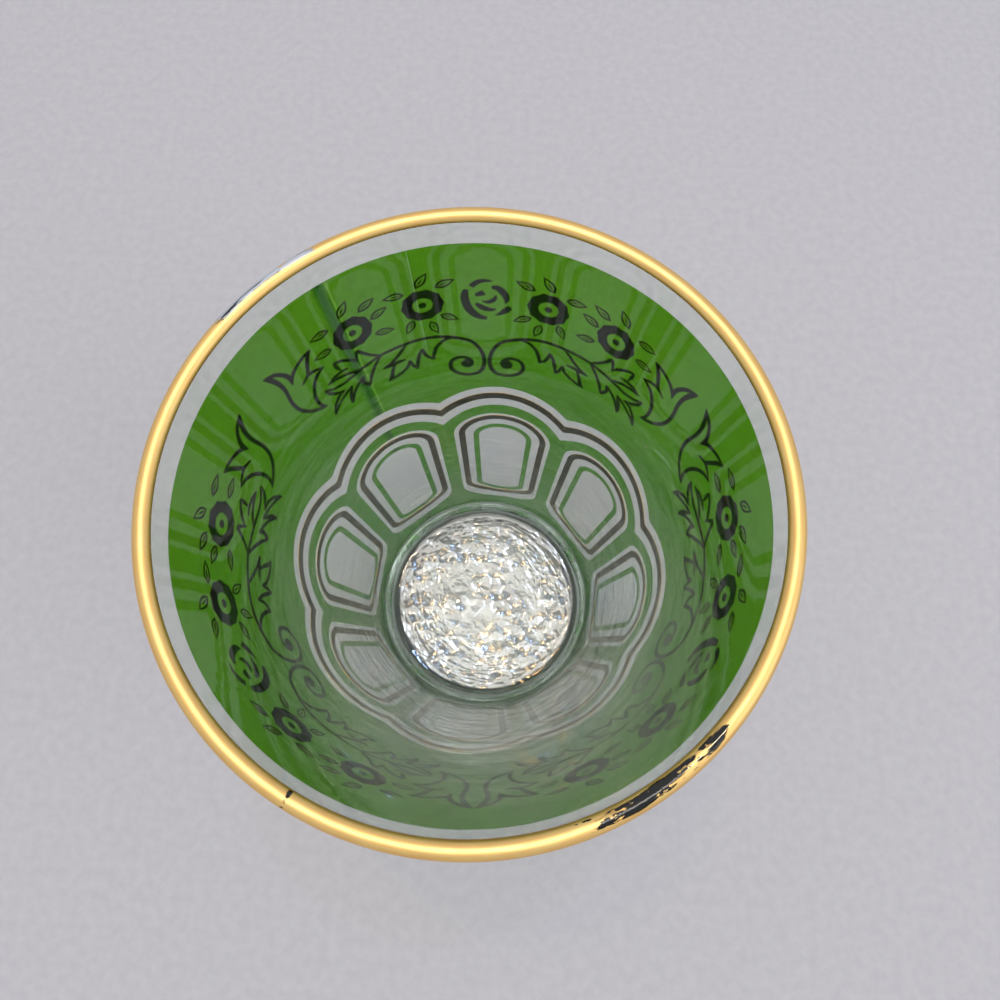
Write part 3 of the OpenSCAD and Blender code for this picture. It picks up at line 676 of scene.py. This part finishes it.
section = lip_profile()
gilding = chain("gilded_lip", [(x, 0, y) for x, y, _ in section])
baked(gilding, turned, {
    "Points": len(section), "Segments": LIP_SEGMENTS, "Ripple height": 0.0, "Material": lip_material})
point_out(gilding)
keep(gilding, "lip_gilding")

for node, name in (("green_field", "coat_above_scallops"), ("green_arcade", "coat_below_scallops")):
    keep(layer_from(node, name, coat_material, coat_material, sink=COAT_SINK), node)

keep(layer_from("scallop_gold_line", "gold_line_on_scallops", gold_material, underside_on_glass),
     "scallop_gold_line")
for i in (1, 2, 3):
    keep(layer_from(f"garland_{i}", f"gold_garland_{i}", gold_material, underside_on_coat, sink=COAT_T),
         f"garland_{i}")

for i in range(BAYS):
    turn = math.radians(FIRST_BAY_AZIMUTH + i * 360 / BAYS)
    gold_line = chain(f"gold_line_in_pane_{i + 1}", pane_outline(*GOLD_INSETS), closed=True)
    baked(gold_line, line, {
        "Line width": GOLD_LINE_W * MM, "Thickness": GOLD_T * MM, "Turn": turn, "Material": gold_material})
    point_out(gold_line)
    dress_layer(gold_line, gold_material, underside_on_glass)
    keep(gold_line, f"pane_gold_line_{i + 1}")
    green_line = chain(f"green_line_in_pane_{i + 1}", pane_outline(*GREEN_INSETS), closed=True)
    baked(green_line, line, {
        "Line width": GREEN_LINE_W * MM, "Thickness": COAT_T * MM, "Sink": COAT_SINK * MM, "Turn": turn,
        "Material": coat_material})
    point_out(green_line)
    dress_layer(green_line, coat_material, coat_material)
    keep(green_line, f"pane_green_line_{i + 1}")

# Studio: a pale board, a soft key, and small warm and cool lamps for the glints in the glass
board = bpy.data.meshes.new("board")
board.from_pydata([(-1.5, -1.5, 0), (1.5, -1.5, 0), (1.5, 1.5, 0), (-1.5, 1.5, 0)], [], [(0, 1, 2, 3)])
board.materials.append(pale_board())
floor = bpy.data.objects.new("floor", board)
floor.location.z = -0.0002
bpy.context.scene.collection.objects.link(floor)


def lamp(name, at, size, power, code, towards=(0, 0, 0.04)):
    """A soft square lamp that faces the glass."""
    light = bpy.data.lights.new(name, "AREA")
    light.size = size
    light.energy = power
    light.color = colour(code)[:3]
    piece = bpy.data.objects.new(name, light)
    piece.location = at
    piece.rotation_mode = "QUATERNION"
    piece.rotation_quaternion = (Vector(towards) - Vector(at)).to_track_quat("-Z", "Y")
    bpy.context.scene.collection.objects.link(piece)


lamp("overhead", (-0.03, -0.075, 0.9), 0.4, 2.0, "#fffaf2")
lamp("fill", (0.8, -0.3, 0.7), 0.7, 2.0, "#f4f7ff")
# Small warm and cool lamps, each seen again in the dimples of the base
GLINTS = (
    (-0.08, 0.19, "#ffc888"), (0.07, 0.2, "#a8c8ff"), (0.09, 0.06, "#ffe4c0"), (-0.1, 0.05, "#d4e4ff"))
GLINT_LAMP_H = 0.75
for i, (x, y, code) in enumerate(GLINTS):
    lamp(f"glint_{i}", (x, y, GLINT_LAMP_H), 0.035, 0.3, code)

world = bpy.data.worlds.new("studio")
world.use_nodes = True
world.node_tree.nodes["Background"].inputs["Color"].default_value = colour("#e6e8ec")
world.node_tree.nodes["Background"].inputs["Strength"].default_value = 0.8
bpy.context.scene.world = world
bpy.context.scene.view_settings.view_transform = "Standard"

# The camera looks down into the glass from just above its near side
CAMERA_AT = (4.36, -21.95, 164.97)
CAMERA_TURN, CAMERA_TIP, CAMERA_ROLL = 2.25, 15.56, 0.15
camera = bpy.data.objects.new("camera", bpy.data.cameras.new("camera"))
camera.data.lens = 27.0
camera.data.sensor_width = 36.0
camera.data.clip_start = 0.005
camera.matrix_world = Matrix.Translation([c * MM for c in CAMERA_AT]) @ (
    Matrix.Rotation(math.radians(CAMERA_TURN), 4, "Z")
    @ Matrix.Rotation(math.radians(CAMERA_ROLL), 4, "Y")
    @ Matrix.Rotation(math.radians(CAMERA_TIP), 4, "X"))
bpy.context.scene.collection.objects.link(camera)
bpy.context.scene.camera = camera
